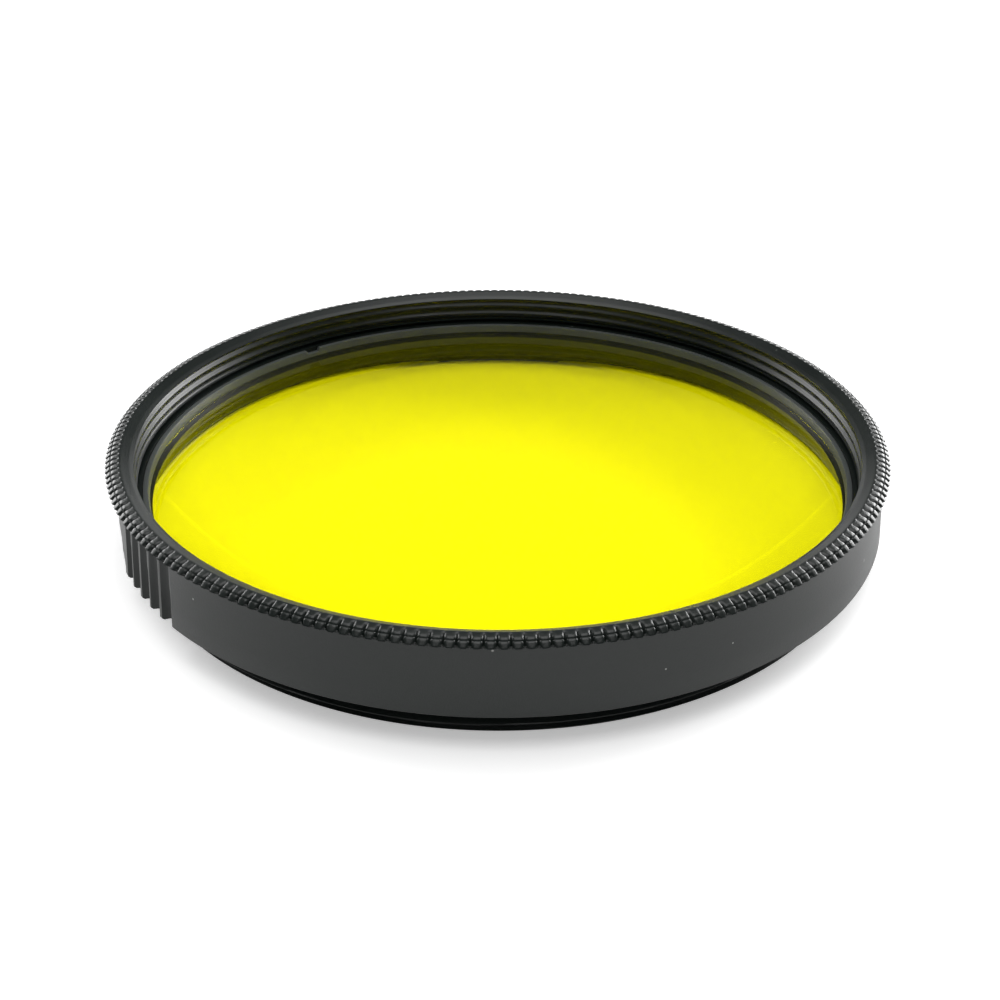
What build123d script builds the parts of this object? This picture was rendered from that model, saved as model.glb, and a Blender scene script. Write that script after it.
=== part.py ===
"""Screw-in colour filter for a camera lens: a knurled ring, a yellow glass and its retaining ring.

The frame's origin is the middle of the male thread's end face, on which the filter stands.
+Z is the optical axis, towards the front rim, and azimuths are counted from -Y, the near side.
All lengths are in millimetres and all angles in degrees.
"""
import os
from math import cos, pi, radians, tan

from build123d import *

# Lens thread: 52 mm nominal with a 0.75 mm pitch, the same at both ends of the ring,
# each thread ending at a turned relief groove.
thread_diameter = 52.0
thread_pitch = 0.75
thread_height = 1.75
thread_lead_chamfer = 0.35
relief_width = 0.55
relief_depth = 0.6
bore_relief_width = 0.3
bore_relief_depth = 0.3

# Plain barrel, standing out from the thread and a little wider at its foot than under the lip.
barrel_overhang = 1.45
barrel_taper = 0.4
barrel_height = 4.5
barrel_edge_chamfer = 0.15

# Lip: widest at its sharp edge, with a steep lower facet and a flatter top facet up to the crest.
lip_overhang = 0.05
lip_root_step = 0.05
lip_undercut_height = 0.28
lower_facet_width = 0.4
lower_facet_height = 0.35
top_facet_width = 0.6
top_facet_height = 0.1
crest_land = 0.08
mouth_chamfer_width = 0.57
mouth_chamfer_height = 0.3
mouth_countersink = 0.18

# Knurl: straight V grooves laid over both facets of the lip, running out at the crest.
knurl_pitch = 0.745
knurl_angle = 62.0
knurl_edge_depth = 0.24

# Finger grips, two of them opposite each other: upright flutes and a flat beside them.
grip_count = 2
flute_count = 5
flute_pitch_angle = 3.0
first_flute_azimuth = -47.7
flute_cutter_radius = 0.55
flute_depth = 0.5
grip_flat_from_azimuth = -62.0
grip_flat_to_azimuth = -87.0

# The seat, a step narrower than the thread's core, with its ledge, and the glass in it.
seat_step = 0.3
seat_ledge_width = 0.7
ledge_height = 2.6
glass_thickness = 1.6
glass_chamfer = 0.15
glass_side_clearance = 0.1
seat_shoulder_height = 0.05
bore_foot_chamfer = 0.3

# Retaining ring with its two spanner slots.
retainer_height = 0.6
retainer_width = 0.43
retainer_land_width = 0.35
retainer_lip_height = 0.15
retainer_clearance = 0.02
retainer_slot_count = 2
retainer_slot_width = 1.2
retainer_slot_depth = 0.3
retainer_slot_azimuth = 40.0

# Sizes that follow from the ones above.
thread_radius = thread_diameter / 2
thread_core_radius = thread_radius - 5 / 8 * tan(radians(60)) / 2 * thread_pitch
barrel_foot_z = thread_height + relief_width
barrel_top_z = barrel_foot_z + barrel_height
barrel_foot_radius = thread_radius + barrel_overhang
barrel_top_radius = barrel_foot_radius - barrel_taper
lip_radius = barrel_foot_radius + lip_overhang
knurl_count = round(2 * pi * lip_radius / knurl_pitch)
lip_edge_z = barrel_top_z + lip_undercut_height
facet_corner_radius = lip_radius - lower_facet_width
facet_corner_z = lip_edge_z + lower_facet_height
crest_radius = facet_corner_radius - top_facet_width
crest_z = facet_corner_z + top_facet_height
crest_inner_radius = crest_radius - crest_land
mouth_radius = crest_inner_radius - mouth_chamfer_width
mouth_z = crest_z - mouth_chamfer_height
bore_radius = thread_core_radius
bore_relief_radius = thread_radius + bore_relief_depth
seat_radius = bore_radius - seat_step
clear_radius = seat_radius - seat_ledge_width
glass_radius = seat_radius - glass_side_clearance
glass_top_z = ledge_height + glass_thickness
retainer_top_z = glass_top_z + retainer_height
seat_top_z = retainer_top_z + seat_shoulder_height


def at_azimuth(shape, azimuth):
    """The shape turned about the optical axis from the near side, -Y, by the azimuth."""
    return Rot(Z=azimuth) * shape


def revolved(points):
    """A solid of revolution about the optical axis from (radius, height) corners."""
    outline = Polyline([(radius, 0, height) for radius, height in points], close=True)
    return revolve(Face(Wire(outline.edges())), axis=Axis.Z, revolution_arc=360)


def turned_body():
    """Collar and barrel as one solid turning, still without its bore."""
    return revolved([
        (0, 0),
        (thread_radius - thread_lead_chamfer, 0),
        (thread_radius, thread_lead_chamfer),
        (thread_radius, thread_height),
        (thread_radius - relief_depth, thread_height),
        (thread_radius - relief_depth, barrel_foot_z),
        (barrel_foot_radius - barrel_edge_chamfer, barrel_foot_z),
        (barrel_foot_radius, barrel_foot_z + barrel_edge_chamfer),
        (barrel_top_radius, barrel_top_z),
        (0, barrel_top_z),
    ])


def lip_blank():
    """The lip before its grooves are cut: undercut and two facets, with one flat for each tooth."""
    levels = [
        (barrel_top_radius - lip_root_step, barrel_top_z),
        (lip_radius, lip_edge_z),
        (facet_corner_radius, facet_corner_z),
        (crest_radius, crest_z),
    ]
    sections = [
        Pos(0, 0, height) * RegularPolygon(radius, knurl_count, rotation=-90)
        for radius, height in levels
    ]
    return loft(sections, ruled=True)


def bore():
    """All that is bored out: the clear opening, the seat, the thread's core and the mouth."""
    return revolved([
        (0, 0),
        (clear_radius + bore_foot_chamfer, 0),
        (clear_radius, bore_foot_chamfer),
        (clear_radius, ledge_height),
        (seat_radius, ledge_height),
        (seat_radius, seat_top_z),
        (bore_relief_radius, seat_top_z),
        (bore_relief_radius, seat_top_z + bore_relief_width),
        (bore_radius, seat_top_z + bore_relief_width),
        (bore_radius, mouth_z - mouth_countersink),
        (mouth_radius, mouth_z),
        (crest_inner_radius, crest_z),
        (0, crest_z),
    ])


def knurl_cutter():
    """One V groove at the near side: its bottom runs straight from the crest to the lip's edge."""
    crest_end = Vector(0, -crest_radius, crest_z)
    facet_slope = Vector(0, -lower_facet_width, -lower_facet_height).normalized()
    inward = Vector(0, -facet_slope.Z, facet_slope.Y)
    edge_end = Vector(0, -lip_radius, lip_edge_z) + inward * knurl_edge_depth
    run = edge_end - crest_end
    outward = Vector(0, run.Z, -run.Y).normalized()
    reach = 3 * knurl_edge_depth
    half_width = reach * tan(radians(knurl_angle / 2))
    corners = [
        crest_end,
        crest_end + outward * reach + Vector(half_width, 0, 0),
        crest_end + outward * reach - Vector(half_width, 0, 0),
    ]
    section = Face(Wire(Polyline(corners, close=True).edges()))
    return extrude(section, amount=2 * run.length, dir=run.normalized())


def grip_cutters():
    """Flutes and flat of one finger grip, cut only between the barrel's foot and the lip."""
    height = barrel_top_z - thread_height
    axis_radius = (barrel_foot_radius + barrel_top_radius) / 2 + flute_cutter_radius - flute_depth
    flute = Pos(0, -axis_radius, thread_height) * Cylinder(
        flute_cutter_radius, height, align=(Align.CENTER, Align.CENTER, Align.MIN))
    cutters = [
        at_azimuth(flute, first_flute_azimuth - index * flute_pitch_angle)
        for index in range(flute_count)
    ]
    half_angle = (grip_flat_from_azimuth - grip_flat_to_azimuth) / 2
    middle = (grip_flat_from_azimuth + grip_flat_to_azimuth) / 2
    flat_distance = barrel_foot_radius * cos(radians(half_angle))
    block = Pos(0, -flat_distance, thread_height) * Box(
        2 * lip_radius, lip_radius, height, align=(Align.CENTER, Align.MAX, Align.MIN))
    cutters.append(at_azimuth(block, middle))
    return cutters


def make_filter_ring():
    """The black ring, turned from one piece and then fluted and knurled."""
    ring = turned_body() + lip_blank() - bore()
    grips = [
        at_azimuth(cutter, turn * 360 / grip_count)
        for turn in range(grip_count)
        for cutter in grip_cutters()
    ]
    ring = ring.cut(*grips)
    groove = knurl_cutter()
    grooves = [at_azimuth(groove, index * 360 / knurl_count) for index in range(knurl_count)]
    return ring.cut(*grooves)


def make_colour_glass():
    """The dyed glass disc with ground edges, lying on the ring's ledge."""
    return revolved([
        (0, ledge_height),
        (glass_radius - glass_chamfer, ledge_height),
        (glass_radius, ledge_height + glass_chamfer),
        (glass_radius, glass_top_z - glass_chamfer),
        (glass_radius - glass_chamfer, glass_top_z),
        (0, glass_top_z),
    ])


def make_retaining_ring():
    """The thin ring that holds the glass down, bevelled inside and slotted for a spanner."""
    outer_radius = seat_radius - retainer_clearance
    inner_radius = outer_radius - retainer_width
    ring = revolved([
        (inner_radius, glass_top_z),
        (outer_radius, glass_top_z),
        (outer_radius, retainer_top_z),
        (outer_radius - retainer_land_width, retainer_top_z),
        (inner_radius, glass_top_z + retainer_lip_height),
    ])
    slot = Pos(0, -(inner_radius + outer_radius) / 2, retainer_top_z) * Box(
        retainer_slot_width, outer_radius - inner_radius + retainer_slot_width,
        2 * retainer_slot_depth)
    slots = [
        at_azimuth(slot, retainer_slot_azimuth + index * 360 / retainer_slot_count)
        for index in range(retainer_slot_count)
    ]
    return ring.cut(*slots)


os.makedirs("parts", exist_ok=True)
export_step(make_filter_ring(), "parts/filter_ring.step")
export_step(make_colour_glass(), "parts/colour_glass.step")
export_step(make_retaining_ring(), "parts/retaining_ring.step")
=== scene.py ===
"""Visual model of a screw-in colour filter for a camera lens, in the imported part's frame.

Lengths are in millimetres in the formulas, and meshes are written in metres.
Azimuths are counted from -Y, the side nearest the camera, positive towards +X.
"""

from math import cos, pi, radians

import bpy
import numpy as np
from mathutils import Matrix, Vector


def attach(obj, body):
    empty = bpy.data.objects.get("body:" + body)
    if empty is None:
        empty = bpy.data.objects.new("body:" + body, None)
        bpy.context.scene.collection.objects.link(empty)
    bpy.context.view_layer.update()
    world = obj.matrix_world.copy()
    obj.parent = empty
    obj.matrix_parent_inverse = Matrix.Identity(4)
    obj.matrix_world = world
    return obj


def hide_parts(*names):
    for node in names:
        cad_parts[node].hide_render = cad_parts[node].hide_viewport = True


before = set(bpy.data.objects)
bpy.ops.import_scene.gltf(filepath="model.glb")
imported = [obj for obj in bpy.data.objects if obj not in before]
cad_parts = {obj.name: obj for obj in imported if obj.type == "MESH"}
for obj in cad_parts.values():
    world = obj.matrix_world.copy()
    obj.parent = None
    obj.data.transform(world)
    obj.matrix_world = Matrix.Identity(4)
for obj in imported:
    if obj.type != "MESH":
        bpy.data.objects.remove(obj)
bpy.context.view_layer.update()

# FILTER RING
# The black mount that holds everything: a turned aluminium ring, painted satin black. Its lip is
# knurled, its barrel has finger-grip flutes, and both ends carry a 52 mm by 0.75 mm lens thread.

# The collar with its male thread, and the relief between it and the barrel.
thread_pitch = 0.75
thread_crest_share = 1 / 8
thread_root_share = 1 / 4
thread_radius = 26.0
male_thread_depth = 0.46
male_thread_fade = 0.12
collar_height = 1.75
lead_chamfer = 0.35
collar_relief_radius = 25.4

# The barrel, with three rows on its underside, where the number of columns doubles twice.
underside_radii = (26.2, 26.5, 26.76)
barrel_foot_z = 2.30
barrel_foot_radius = 27.45
barrel_edge_chamfer = 0.15
barrel_top_z = 6.78
barrel_top_radius = 27.05

# The finger grips: five flutes and a flat, repeated on the opposite side.
flute_azimuths = (-47.7, -50.7, -53.7, -56.7, -59.7)
flute_radius = 0.55
flute_axis_radius = 27.3
flat_from_azimuth = -62.0
flat_to_azimuth = -87.0

# The lip's outline, as (radius, height) from its root over its sharp edge to its inner side.
lip_root = (27.05, 6.80)
lip_edge = (27.492, 7.085)
facet_corner = (27.1, 7.43)
crest = (26.5, 7.528)
crest_foot = (26.36, 7.475)

# The teeth. The dome's share is of the groove's depth. The groove starts at a share of a tooth's
# half width, and a bead narrows by a share of its own width.
tooth_count = 232
tooth_depth = 0.21
tooth_depth_power = 0.6
tooth_dome_share = 0.15
groove_from_share = 0.7
bead_narrowing = 0.2
bead_narrowing_power = 4
row_notch_depth = 0.07
row_notch_width = 0.06

# The mouth's slope from the lip down to the bore, as (radius, height).
mouth_slope_top = (26.28, 7.435)
mouth_slope_middle = (26.18, 7.385)
mouth_edge = (25.85, 7.23)
mouth_foot = (25.68, 7.11)

# The bore with its female thread, which is shown at half its real depth.
bore_radius = 25.594
bore_top_z = 7.05
bore_foot_z = 5.15
female_thread_depth = 0.203
female_thread_top_fade = 0.15
female_thread_foot_fade = 0.05

# The relief groove, the seat, the ledge for the glass and the clear opening under it.
bore_relief_radius = 26.3
bore_relief_top_z = 5.145
seat_top_z = 4.85
seat_radius = 25.294
ledge_z = 2.6
clear_radius = 24.594
foot_chamfer = 0.3

fine_columns = 8 * tooth_count
middle_columns = 4 * tooth_count
coarse_columns = 2 * tooth_count


def outline(corners):
    """Points (radius, height) along straight lines between the corners of a turned outline.

    A corner is (radius, height, rounding, steps). The line that leads to it is cut into so many
    equal steps. Where rounding is above 0, three points of a parabola replace the corner, the
    outer two lying that far from it on its two lines.
    """
    places = np.array([corner[:2] for corner in corners], dtype=float)
    points = []
    line_start = places[0]
    for index, (_, _, rounding, steps) in enumerate(corners):
        corner = places[index]
        bend = [corner]
        if rounding > 0:
            back = places[index - 1] - corner
            ahead = places[index + 1] - corner
            near = corner + back * rounding / np.linalg.norm(back)
            far = corner + ahead * rounding / np.linalg.norm(ahead)
            bend = [near, (near + 2 * corner + far) / 4, far]
        if index > 0:
            shares = np.arange(1, steps)[:, None] / steps
            points.extend(line_start + shares * (bend[0] - line_start))
        points.extend(bend)
        line_start = bend[-1]
    return np.array(points)


def azimuths(columns):
    """One row of azimuths in radians, evenly spaced over the full turn."""
    return np.arange(columns)[None, :] * 2 * pi / columns


def round_axis(radius, azimuth, height):
    """Vertices: x is radius times the azimuth's sine, y is minus radius times its cosine."""
    return np.stack([radius * np.sin(azimuth), -radius * np.cos(azimuth), height], axis=2)


def turned(points, columns, cut_radius=None):
    """Rows of vertices, each the circle of one outline point round the axis.

    cut_radius(radius, height, azimuth) gives the radius of a surface that isn't quite round.
    """
    radius, height, azimuth = np.broadcast_arrays(points[:, :1], points[:, 1:], azimuths(columns))
    if cut_radius is not None:
        radius = cut_radius(radius, height, azimuth)
    return round_axis(radius, azimuth, height)


def thread_form(height, azimuth, depth):
    """Depth of a right-handed thread's groove below its crest.

    The thread advances one pitch in a turn. Across a pitch the form is a triangle wave, cut flat
    over an eighth of the pitch at its crest and over a quarter at its root.
    """
    phase = (height / thread_pitch - azimuth / (2 * pi)) % 1.0
    wave = 1 - 2 * np.abs(phase - 0.5)
    flank = (wave - thread_crest_share) / (1 - thread_crest_share - thread_root_share)
    return depth * np.clip(flank, 0, 1)


def threaded_collar(radius, height, azimuth):
    """The male thread: its groove is taken off the radius and fades out towards the relief.

    The lead chamfer cuts the thread off, so that the radius is at most the chamfer's at the
    end face plus the height above it.
    """
    fade = np.clip((collar_height - height) / male_thread_fade, 0, 1)
    groove = fade * thread_form(height, azimuth, male_thread_depth)
    return np.minimum(radius - groove, thread_radius - lead_chamfer + height)


def threaded_bore(radius, height, azimuth):
    """The female thread: its groove is added to the radius and fades out at both ends."""
    top_fade = np.clip((bore_top_z - height) / female_thread_top_fade, 0, 1)
    foot_fade = np.clip((height - bore_foot_z) / female_thread_foot_fade, 0, 1)
    return radius + top_fade * foot_fade * thread_form(height, azimuth, female_thread_depth)


def angle_from(azimuth, centre):
    """The angle in radians from a centre given in degrees, or from the azimuth opposite to it."""
    return (azimuth - radians(centre) + pi / 2) % pi - pi / 2


def gripped_barrel(radius, height, azimuth):
    """The barrel's radius, less what the flutes and the flats cut away.

    A flute is the near side of an upright cylinder: the distance of its axis times the angle's
    cosine, less the square root of its own radius squared less the distance across squared. A
    flat's radius is its distance from the ring's axis over the cosine of the angle from its middle.
    """
    cut = radius
    for centre in flute_azimuths:
        offset = angle_from(azimuth, centre)
        across = flute_axis_radius * np.sin(offset)
        reach = np.sqrt(np.maximum(flute_radius**2 - across**2, 0))
        flute = flute_axis_radius * np.cos(offset) - reach
        cut = np.where(np.abs(across) < flute_radius, np.minimum(cut, flute), cut)
    half_angle = radians((flat_from_azimuth - flat_to_azimuth) / 2)
    offset = angle_from(azimuth, (flat_from_azimuth + flat_to_azimuth) / 2)
    flat = barrel_foot_radius * cos(half_angle) / np.cos(offset)
    return np.where(np.abs(offset) < half_angle, np.minimum(cut, flat), cut)


def knurled_lip(points, columns):
    """The lip's teeth: two rows of beads, pressed in at right angles to its outline.

    The V grooves between the teeth are deepest from the sharp edge to the facet corner, and run
    out at the crest and at the root. A tooth's top is domed, as the square of the distance from
    its middle. A bell-shaped notch at the facet corner parts the two rows, and below it each
    bead narrows towards a round end at the edge.
    """
    steps = np.linalg.norm(np.diff(points, axis=0), axis=1)
    along = np.concatenate([[0], np.cumsum(steps)])
    ahead = np.gradient(points, along, axis=0)
    outward = np.stack([ahead[:, 1], -ahead[:, 0]], axis=1)
    outward /= np.linalg.norm(outward, axis=1)[:, None]
    edge_at = along[np.argmax(points[:, 0])]
    corner_at = along[np.argmin(np.linalg.norm(points - facet_corner, axis=1))]
    crest_at = along[np.argmax(points[:, 1])]

    azimuth = azimuths(columns)
    place = along[:, None]
    from_middle = 2 * np.abs((azimuth * tooth_count / (2 * pi)) % 1.0 - 0.5)
    to_crest = np.clip((crest_at - place) / (crest_at - corner_at), 0, 1)
    to_root = np.clip(place / edge_at, 0, 1)
    depth = tooth_depth * to_crest**tooth_depth_power * to_root
    to_edge = np.clip((corner_at - place) / (corner_at - edge_at), 0, 1)
    narrowing = bead_narrowing * to_edge**bead_narrowing_power
    across = np.clip(from_middle / (1 - narrowing), 0, 1)
    groove = np.clip((across - groove_from_share) / (1 - groove_from_share), 0, 1)
    bead = tooth_dome_share * across**2 + (1 - tooth_dome_share) * groove
    notch = row_notch_depth * np.exp(-(((place - corner_at) / row_notch_width) ** 2))
    inward = depth * bead + notch
    radius = points[:, :1] - inward * outward[:, :1]
    height = points[:, 1:] - inward * outward[:, 1:]
    return round_axis(radius, azimuth, height)


def fanned(coarse, fine):
    """Three triangles on each edge of a coarse row, up to a row with twice its vertices."""
    ahead = np.roll(coarse, -1)
    left, middle, right = fine[0::2], fine[1::2], np.roll(fine[0::2], -1)
    corners = [(left, middle, coarse), (middle, right, ahead), (middle, ahead, coarse)]
    return np.concatenate([np.stack(triangle, axis=1) for triangle in corners])


def turned_mesh(name, bands):
    """One watertight mesh from bands of rows that follow each other round a closed outline.

    Rows of equal length are joined by quads. Where one row has twice the vertices of its
    neighbour, they are joined by fans of three triangles.
    """
    rows = [row for band in bands for row in band]
    starts = np.cumsum([0] + [len(row) for row in rows])
    groups = []
    for index, row in enumerate(rows):
        following = (index + 1) % len(rows)
        near = starts[index] + np.arange(len(row))
        far = starts[following] + np.arange(len(rows[following]))
        if len(near) == len(far):
            groups.append(np.stack([near, np.roll(near, -1), np.roll(far, -1), far], axis=1))
        elif len(near) > len(far):
            groups.append(fanned(far, near))
        else:
            groups.append(fanned(near, far)[:, ::-1])
    faces = [face for group in groups for face in group.tolist()]
    mesh = bpy.data.meshes.new(name)
    mesh.from_pydata((np.concatenate(rows) / 1000).tolist(), [], faces)
    mesh.update()
    return mesh


sharp_edge_angle = 40.0


def finished(name, mesh, material):
    """The mesh as an object in the scene, smooth but for its sharp edges."""
    piece = bpy.data.objects.new(name, mesh)
    bpy.context.scene.collection.objects.link(piece)
    mesh.materials.append(material)
    mesh.polygons.foreach_set("use_smooth", np.ones(len(mesh.polygons), dtype=bool))
    mesh.set_sharp_from_angle(angle=radians(sharp_edge_angle))
    return piece


collar_outline = outline([
    (thread_radius, 0.0, 0, 1),
    (thread_radius, collar_height, 0, 28),
])
collar_relief_outline = outline([
    (collar_relief_radius, collar_height, 0, 1),
    (collar_relief_radius, barrel_foot_z, 0.04, 2),
    (underside_radii[0], barrel_foot_z, 0, 2),
])
underside_outline = outline([(underside_radii[1], barrel_foot_z, 0, 1)])
barrel_outline = outline([
    (underside_radii[2], barrel_foot_z, 0, 1),
    (barrel_foot_radius - barrel_edge_chamfer, barrel_foot_z, 0.03, 2),
    (barrel_foot_radius, barrel_foot_z + barrel_edge_chamfer, 0.03, 1),
    (barrel_top_radius, barrel_top_z, 0, 3),
])
lip_outline = outline([
    (*lip_root, 0, 1),
    (*lip_edge, 0.04, 2),
    (*facet_corner, 0.05, 5),
    (*crest, 0.08, 4),
    (*crest_foot, 0, 1),
])
mouth_slope_outline = outline([(*mouth_slope_top, 0, 1)])
mouth_outline = outline([
    (*mouth_slope_middle, 0, 1),
    (*mouth_edge, 0.04, 3),
    (*mouth_foot, 0, 1),
])
bore_outline = outline([
    (bore_radius, bore_top_z, 0, 1),
    (bore_radius, bore_foot_z, 0, 31),
])
seat_outline = outline([
    (bore_relief_radius, bore_relief_top_z, 0, 1),
    (bore_relief_radius, seat_top_z, 0, 1),
    (seat_radius, seat_top_z, 0, 1),
    (seat_radius, ledge_z, 0, 1),
    (clear_radius, ledge_z, 0.04, 2),
    (clear_radius, foot_chamfer, 0, 1),
    (clear_radius + foot_chamfer, 0, 0, 1),
])

# The outline goes up the ring's outside and down its inside, back to the thread's end face.
ring_mesh = turned_mesh("filter_ring_surface", [
    turned(collar_outline, coarse_columns, threaded_collar),
    turned(collar_relief_outline, coarse_columns),
    turned(underside_outline, middle_columns),
    turned(barrel_outline, fine_columns, gripped_barrel),
    knurled_lip(lip_outline, fine_columns),
    turned(mouth_slope_outline, middle_columns),
    turned(mouth_outline, coarse_columns),
    turned(bore_outline, coarse_columns, threaded_bore),
    turned(seat_outline, coarse_columns),
])

# Scales count the grains, patches or cells in a metre, and the bump's height is in metres.
paint_grain_scale = 9000.0
paint_grain_detail = 3.0
paint_unevenness_scale = 160.0
paint_unevenness_detail = 2.0
paint_bump_strength = 0.25
paint_bump_height = 0.00003
paint_roughness_spread = 0.08
dust_scale = 900.0
dust_speck_share = 0.11
dust_on_paint = 0.012
dust_whiteness = 0.25
mark_colour = (0.45, 0.45, 0.43)

ring_black = (0.003, 0.0062, 0.0055)
ring_black_lifted = (0.010, 0.014, 0.012)
ring_roughness = 0.34

# Pale marks on the ring, as place and radius in metres. Four are on the barrel's near side, and
# the last is on top of the lip, far right.
ring_marks = [
    ((-0.00026, -0.02706, 0.00672), 0.00010),
    ((0.01339, -0.02371, 0.00483), 0.00007),
    ((0.00939, -0.02560, 0.00441), 0.00007),
    ((-0.01791, -0.02043, 0.00551), 0.00009),
    ((0.02261, 0.01307, 0.00750), 0.00016),
]


def feed(tree, value, socket):
    """Links the value to the socket where it is another socket, and sets it where it is plain."""
    if isinstance(value, bpy.types.NodeSocket):
        tree.links.new(value, socket)
    else:
        socket.default_value = value


def new_group(name, inputs, output_names):
    """An empty group of nodes with inputs, given as (name, type), and outputs that are floats."""
    group = bpy.data.node_groups.new(name, "ShaderNodeTree")
    for input_name, socket_type in inputs:
        group.interface.new_socket(name=input_name, in_out="INPUT", socket_type=socket_type)
    for output_name in output_names:
        group.interface.new_socket(
            name=output_name, in_out="OUTPUT", socket_type="NodeSocketFloat")
    return group, group.nodes.new("NodeGroupInput"), group.nodes.new("NodeGroupOutput")


def placed_group(tree, group, **values):
    """The group as a node in a material, with its own values."""
    node = tree.nodes.new("ShaderNodeGroup")
    node.node_tree = group
    for name, value in values.items():
        feed(tree, value, node.inputs[name])
    return node


def reckoned(tree, operation, first, second, clamp=False):
    """The result of an operation on two values, each of them a socket or a number."""
    node = tree.nodes.new("ShaderNodeMath")
    node.operation = operation
    node.use_clamp = clamp
    feed(tree, first, node.inputs[0])
    feed(tree, second, node.inputs[1])
    return node.outputs[0]


def cloudy(tree, place, scale, detail):
    """Fractal noise at the given place, about 0.5 on average."""
    node = tree.nodes.new("ShaderNodeTexNoise")
    node.inputs["Detail"].default_value = detail
    feed(tree, scale, node.inputs["Scale"])
    feed(tree, place, node.inputs["Vector"])
    return node.outputs[0]


def blended(tree, share, first, second):
    """Two colours mixed by a mask: the first where it is 0, the second where it is 1."""
    node = tree.nodes.new("ShaderNodeMix")
    node.data_type = "RGBA"
    feed(tree, share, node.inputs["Factor"])
    first_socket, second_socket = [socket for socket in node.inputs if socket.type == "RGBA"]
    feed(tree, first, first_socket)
    feed(tree, second, second_socket)
    return [socket for socket in node.outputs if socket.type == "RGBA"][0]


def spread(tree, value, low, high):
    """The value's 0 to 1 carried to low to high."""
    node = tree.nodes.new("ShaderNodeMapRange")
    node.inputs["To Min"].default_value = low
    node.inputs["To Max"].default_value = high
    feed(tree, value, node.inputs["Value"])
    return node.outputs[0]


def make_paint_grain():
    """Fine grain of a satin paint and its slow unevenness, two values about 0.5."""
    group, inputs, outputs = new_group(
        "paint_grain",
        [("Place", "NodeSocketVector"), ("Fineness", "NodeSocketFloat")],
        ["Grain", "Unevenness"],
    )
    place = inputs.outputs["Place"]
    fine = cloudy(group, place, inputs.outputs["Fineness"], paint_grain_detail)
    slow = cloudy(group, place, paint_unevenness_scale, paint_unevenness_detail)
    feed(group, fine, outputs.inputs["Grain"])
    feed(group, slow, outputs.inputs["Unevenness"])
    return group


def make_dust():
    """Sparse dust: the middles of scattered cells, of which only the given share is kept."""
    group, inputs, outputs = new_group(
        "dust_specks",
        [("Place", "NodeSocketVector"), ("Density", "NodeSocketFloat")],
        ["Mask"],
    )
    cells = group.nodes.new("ShaderNodeTexVoronoi")
    cells.inputs["Scale"].default_value = dust_scale
    feed(group, inputs.outputs["Place"], cells.inputs["Vector"])
    draw = group.nodes.new("ShaderNodeSeparateColor")
    feed(group, cells.outputs["Color"], draw.inputs[0])
    near = reckoned(group, "LESS_THAN", cells.outputs["Distance"], dust_speck_share)
    kept = reckoned(group, "LESS_THAN", draw.outputs[0], inputs.outputs["Density"])
    feed(group, reckoned(group, "MULTIPLY", near, kept), outputs.inputs["Mask"])
    return group


def make_pale_mark():
    """A soft round mark: 1 less the distance from its centre over its radius, and 0 beyond."""
    group, inputs, outputs = new_group(
        "pale_mark",
        [("Place", "NodeSocketVector"), ("Centre", "NodeSocketVector"),
         ("Radius", "NodeSocketFloat")],
        ["Mask"],
    )
    apart = group.nodes.new("ShaderNodeVectorMath")
    apart.operation = "DISTANCE"
    feed(group, inputs.outputs["Place"], apart.inputs[0])
    feed(group, inputs.outputs["Centre"], apart.inputs[1])
    share = reckoned(group, "DIVIDE", apart.outputs["Value"], inputs.outputs["Radius"])
    mask = reckoned(group, "SUBTRACT", 1.0, share, clamp=True)
    feed(group, mask, outputs.inputs["Mask"])
    return group


paint_grain = make_paint_grain()
dust = make_dust()
pale_mark = make_pale_mark()


def new_finish(name):
    """A new material, its node tree and its surface shader."""
    material = bpy.data.materials.new(name)
    material.use_nodes = True
    return material, material.node_tree, material.node_tree.nodes["Principled BSDF"]


def satin_black(name, black, lifted, roughness, marks):
    """Satin black paint, uneven in colour and gloss, with fine grain, dust and pale marks."""
    material, tree, shader = new_finish(name)
    place = tree.nodes.new("ShaderNodeTexCoord").outputs["Object"]
    grained = placed_group(tree, paint_grain, Place=place, Fineness=paint_grain_scale)
    dusty = placed_group(tree, dust, Place=place, Density=dust_on_paint)
    dirt = reckoned(tree, "MULTIPLY", dusty.outputs["Mask"], dust_whiteness)
    for centre, radius in marks:
        mark = placed_group(tree, pale_mark, Place=place, Centre=centre, Radius=radius)
        dirt = reckoned(tree, "MAXIMUM", dirt, mark.outputs["Mask"])
    unevenness = grained.outputs["Unevenness"]
    painted = blended(tree, unevenness, (*black, 1.0), (*lifted, 1.0))
    feed(tree, blended(tree, dirt, painted, (*mark_colour, 1.0)), shader.inputs["Base Color"])
    gloss = spread(
        tree, unevenness, roughness - paint_roughness_spread, roughness + paint_roughness_spread)
    feed(tree, reckoned(tree, "MAXIMUM", gloss, dirt), shader.inputs["Roughness"])
    bump = tree.nodes.new("ShaderNodeBump")
    bump.inputs["Strength"].default_value = paint_bump_strength
    bump.inputs["Distance"].default_value = paint_bump_height
    feed(tree, grained.outputs["Grain"], bump.inputs["Height"])
    feed(tree, bump.outputs["Normal"], shader.inputs["Normal"])
    return material


ring_paint = satin_black(
    "black_ring", ring_black, ring_black_lifted, ring_roughness, ring_marks)
ring = finished("filter_ring_surface", ring_mesh, ring_paint)
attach(ring, "root")
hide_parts("filter_ring")

# COLOUR GLASS
# A disc of glass dyed yellow in the mass, with both faces polished and its edges ground round. It
# lies on the ring's ledge, with a little play round it.

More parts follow.
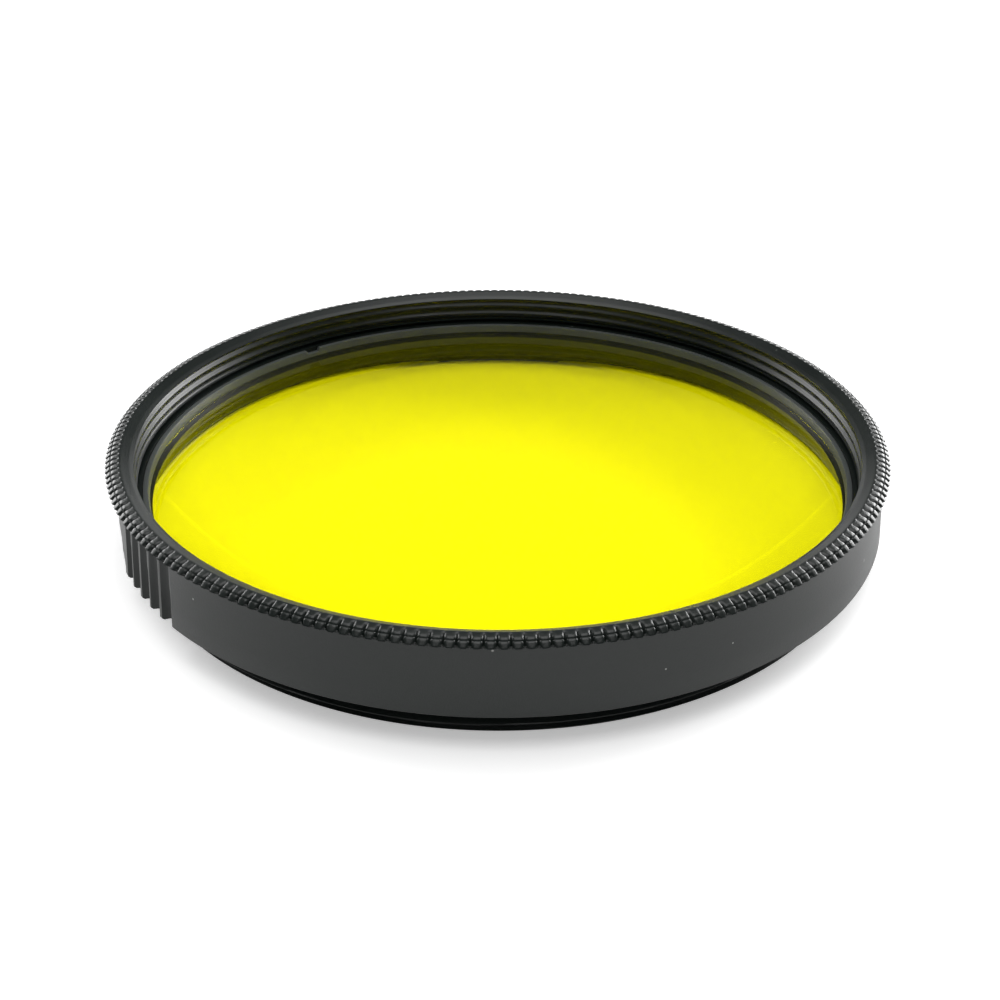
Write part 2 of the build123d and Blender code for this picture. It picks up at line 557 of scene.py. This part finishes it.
glass_radius = 25.19
glass_top_z = 4.2
glass_edge_rounding = 0.12
glass_inner_row_radius = 12.0
glass_yellow = (1.0, 0.975, 0.004)
glass_yellow_pale = (1.0, 0.99, 0.008)
glass_cloud_scale = 70.0
glass_cloud_detail = 2.0
refractive_index = 1.52
glass_light_colour = (1.0, 0.97, 0.03)
dust_on_glass = 0.004
dust_roughness = 0.5


def glass_mesh(name, points, columns):
    """A closed disc: rows of an open outline joined by quads, and a fan to each face's middle."""
    vertices = turned(points, columns).reshape(-1, 3)
    poles = [[0, 0, points[0, 1]], [0, 0, points[-1, 1]]]
    index = np.arange(len(vertices)).reshape(-1, columns)
    ahead = np.roll(index, -1, axis=1)
    lower_pole = np.full(columns, len(vertices))
    upper_pole = lower_pole + 1
    quads = np.stack([index[:-1], ahead[:-1], ahead[1:], index[1:]], axis=2).reshape(-1, 4)
    lower_fan = np.stack([ahead[0], index[0], lower_pole], axis=1)
    upper_fan = np.stack([index[-1], ahead[-1], upper_pole], axis=1)
    faces = quads.tolist() + lower_fan.tolist() + upper_fan.tolist()
    mesh = bpy.data.meshes.new(name)
    mesh.from_pydata((np.concatenate([vertices, poles]) / 1000).tolist(), [], faces)
    mesh.update()
    return mesh


def dyed_glass(name):
    """Polished glass dyed yellow. Towards a lamp it is a clear tint, so that light gets through."""
    material, tree, shader = new_finish(name)
    shader.inputs["Transmission Weight"].default_value = 1.0
    shader.inputs["IOR"].default_value = refractive_index
    place = tree.nodes.new("ShaderNodeTexCoord").outputs["Object"]
    cloud = cloudy(tree, place, glass_cloud_scale, glass_cloud_detail)
    tint = blended(tree, cloud, (*glass_yellow, 1.0), (*glass_yellow_pale, 1.0))
    feed(tree, tint, shader.inputs["Base Color"])
    dusty = placed_group(tree, dust, Place=place, Density=dust_on_glass)
    feed(tree, spread(tree, dusty.outputs["Mask"], 0.0, dust_roughness), shader.inputs["Roughness"])
    clear = tree.nodes.new("ShaderNodeBsdfTransparent")
    clear.inputs["Color"].default_value = (*glass_light_colour, 1.0)
    path = tree.nodes.new("ShaderNodeLightPath")
    mix = tree.nodes.new("ShaderNodeMixShader")
    feed(tree, path.outputs["Is Shadow Ray"], mix.inputs[0])
    feed(tree, shader.outputs[0], mix.inputs[1])
    feed(tree, clear.outputs[0], mix.inputs[2])
    feed(tree, mix.outputs[0], tree.nodes["Material Output"].inputs["Surface"])
    return material


glass_outline = outline([
    (glass_inner_row_radius, ledge_z, 0, 1),
    (glass_radius, ledge_z, glass_edge_rounding, 2),
    (glass_radius, glass_top_z, glass_edge_rounding, 2),
    (glass_inner_row_radius, glass_top_z, 0, 2),
])
glass_surface = glass_mesh("colour_glass_surface", glass_outline, coarse_columns)
glass = finished("colour_glass_surface", glass_surface, dyed_glass("yellow_glass"))
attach(glass, "root")
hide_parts("colour_glass")

# RETAINING RING
# The thin black ring that holds the glass down from the front. It is turned aluminium with a
# bevelled inner edge and two slots across it for the spanner that screws it in.

retainer_outer_radius = 25.27
retainer_inner_radius = 24.85
retainer_top_z = 4.8
retainer_land_width = 0.35
retainer_lip_height = 0.15
slot_azimuth = 40.0
slot_width = 1.2
slot_depth = 0.3
retainer_black = (0.055, 0.062, 0.060)
retainer_black_lifted = (0.080, 0.088, 0.084)
retainer_roughness = 0.4


def slotted(points, columns):
    """The outline carried round, with its top lowered to the floor of two opposite slots.

    Both slots lie on one line through the axis. A vertex is in a slot where its distance from
    that line, its radius times the sine of its angle from it, is under half the slot's width.
    """
    rows = turned(points, columns)
    from_line = np.abs(points[:, :1] * np.sin(azimuths(columns) - radians(slot_azimuth)))
    lowered = np.minimum(rows[:, :, 2], retainer_top_z - slot_depth)
    rows[:, :, 2] = np.where(from_line < slot_width / 2, lowered, rows[:, :, 2])
    return rows


retainer_outline = outline([
    (retainer_inner_radius, glass_top_z, 0, 1),
    (retainer_outer_radius, glass_top_z, 0, 2),
    (retainer_outer_radius, retainer_top_z, 0.02, 4),
    (retainer_outer_radius - retainer_land_width, retainer_top_z, 0.03, 2),
    (retainer_inner_radius, glass_top_z + retainer_lip_height, 0, 4),
])
retainer_paint = satin_black(
    "black_retainer", retainer_black, retainer_black_lifted, retainer_roughness, [])
retainer_mesh = turned_mesh(
    "retaining_ring_surface", [slotted(retainer_outline, middle_columns)])
retainer = finished("retaining_ring_surface", retainer_mesh, retainer_paint)
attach(retainer, "root")
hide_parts("retaining_ring")

# WHITE TABLE
# The plain white table that the filter stands on. It is matt, and lifted towards white for the
# camera alone, which leaves the filter's faint shadow on it.

table_half_width = 2.0
table_white = (0.92, 0.92, 0.92, 1.0)
table_roughness = 0.9
table_gloss = 0.1
table_lift = 0.35

table_mesh = bpy.data.meshes.new("floor")
table_mesh.from_pydata(
    [
        (-table_half_width, -table_half_width, 0),
        (table_half_width, -table_half_width, 0),
        (table_half_width, table_half_width, 0),
        (-table_half_width, table_half_width, 0),
    ],
    [],
    [(0, 1, 2, 3)],
)
table_finish, table_tree, table_shader = new_finish("white_table")
table_shader.inputs["Base Color"].default_value = table_white
table_shader.inputs["Roughness"].default_value = table_roughness
table_shader.inputs["Specular IOR Level"].default_value = table_gloss
table_shader.inputs["Emission Color"].default_value = (1.0, 1.0, 1.0, 1.0)
table_path = table_tree.nodes.new("ShaderNodeLightPath")
table_seen = reckoned(table_tree, "MULTIPLY", table_path.outputs["Is Camera Ray"], table_lift)
feed(table_tree, table_seen, table_shader.inputs["Emission Strength"])
table = finished("floor", table_mesh, table_finish)

# LIGHT
# Soft daylight all round, a softbox overhead, one at each side behind, and a low strip at the
# back. They stand where the glass doesn't mirror them to the camera.

daylight_on_matt = 0.45
daylight_mirrored = 0.07

daylight = bpy.data.worlds.new("soft_daylight")
bpy.context.scene.world = daylight
daylight.use_nodes = True
sky_tree = daylight.node_tree
sky = sky_tree.nodes["Background"]
sky.inputs["Color"].default_value = (1.0, 1.0, 1.0, 1.0)
sky_path = sky_tree.nodes.new("ShaderNodeLightPath")
on_matt = reckoned(sky_tree, "MULTIPLY", sky_path.outputs["Is Diffuse Ray"], daylight_on_matt)
seen = reckoned(sky_tree, "MAXIMUM", sky_path.outputs["Is Camera Ray"], on_matt)
feed(sky_tree, reckoned(sky_tree, "MAXIMUM", seen, daylight_mirrored), sky.inputs["Strength"])


def softbox(name, place, target, width, height, power):
    """A soft lamp aimed from its place at the target, in metres and watts."""
    lamp = bpy.data.lights.new(name, "AREA")
    lamp.shape = "RECTANGLE"
    lamp.size = width
    lamp.size_y = height
    lamp.energy = power
    stand = bpy.data.objects.new(name, lamp)
    stand.location = place
    aim = Vector(target) - Vector(place)
    stand.rotation_euler = aim.to_track_quat("-Z", "Y").to_euler()
    bpy.context.scene.collection.objects.link(stand)


softbox(
    "ceiling_softbox", place=(0.0, -0.02, 0.45), target=(0.0, 0.0, 0.0),
    width=0.42, height=0.42, power=1.25)
softbox(
    "right_softbox", place=(0.36, 0.30, 0.12), target=(0.0, 0.0, 0.01),
    width=0.28, height=0.28, power=2.6)
softbox(
    "left_softbox", place=(-0.36, 0.30, 0.12), target=(0.0, 0.0, 0.01),
    width=0.28, height=0.28, power=1.5)
softbox(
    "back_strip", place=(0.0, 0.60, 0.08), target=(0.0, 0.0, 0.01),
    width=0.9, height=0.12, power=0.4)

# CAMERA
# It stands where the photo was taken from, straight in front and about 30 degrees above the
# table. It is aimed at the middle of the thread's end face, and then turned a little on its own
# axes. Angles are in degrees and its distance in metres.

camera_distance = 0.09405
camera_elevation = 29.9
camera_yaw = -0.10
camera_pitch = 0.37
camera_roll = 0.17

camera_data = bpy.data.cameras.new("camera")
camera_data.lens = 45.0
camera_data.sensor_width = 36.0
camera_data.clip_start = 0.001
camera_data.clip_end = 20.0
camera = bpy.data.objects.new("camera", camera_data)
camera.matrix_world = (
    Matrix.Rotation(radians(90.0 - camera_elevation), 4, "X")
    @ Matrix.Translation((0.0, 0.0, camera_distance))
    @ Matrix.Rotation(radians(camera_yaw), 4, "Y")
    @ Matrix.Rotation(radians(camera_pitch), 4, "X")
    @ Matrix.Rotation(radians(camera_roll), 4, "Z")
)
bpy.context.scene.collection.objects.link(camera)
bpy.context.scene.camera = camera

bpy.context.scene.view_settings.view_transform = "Standard"
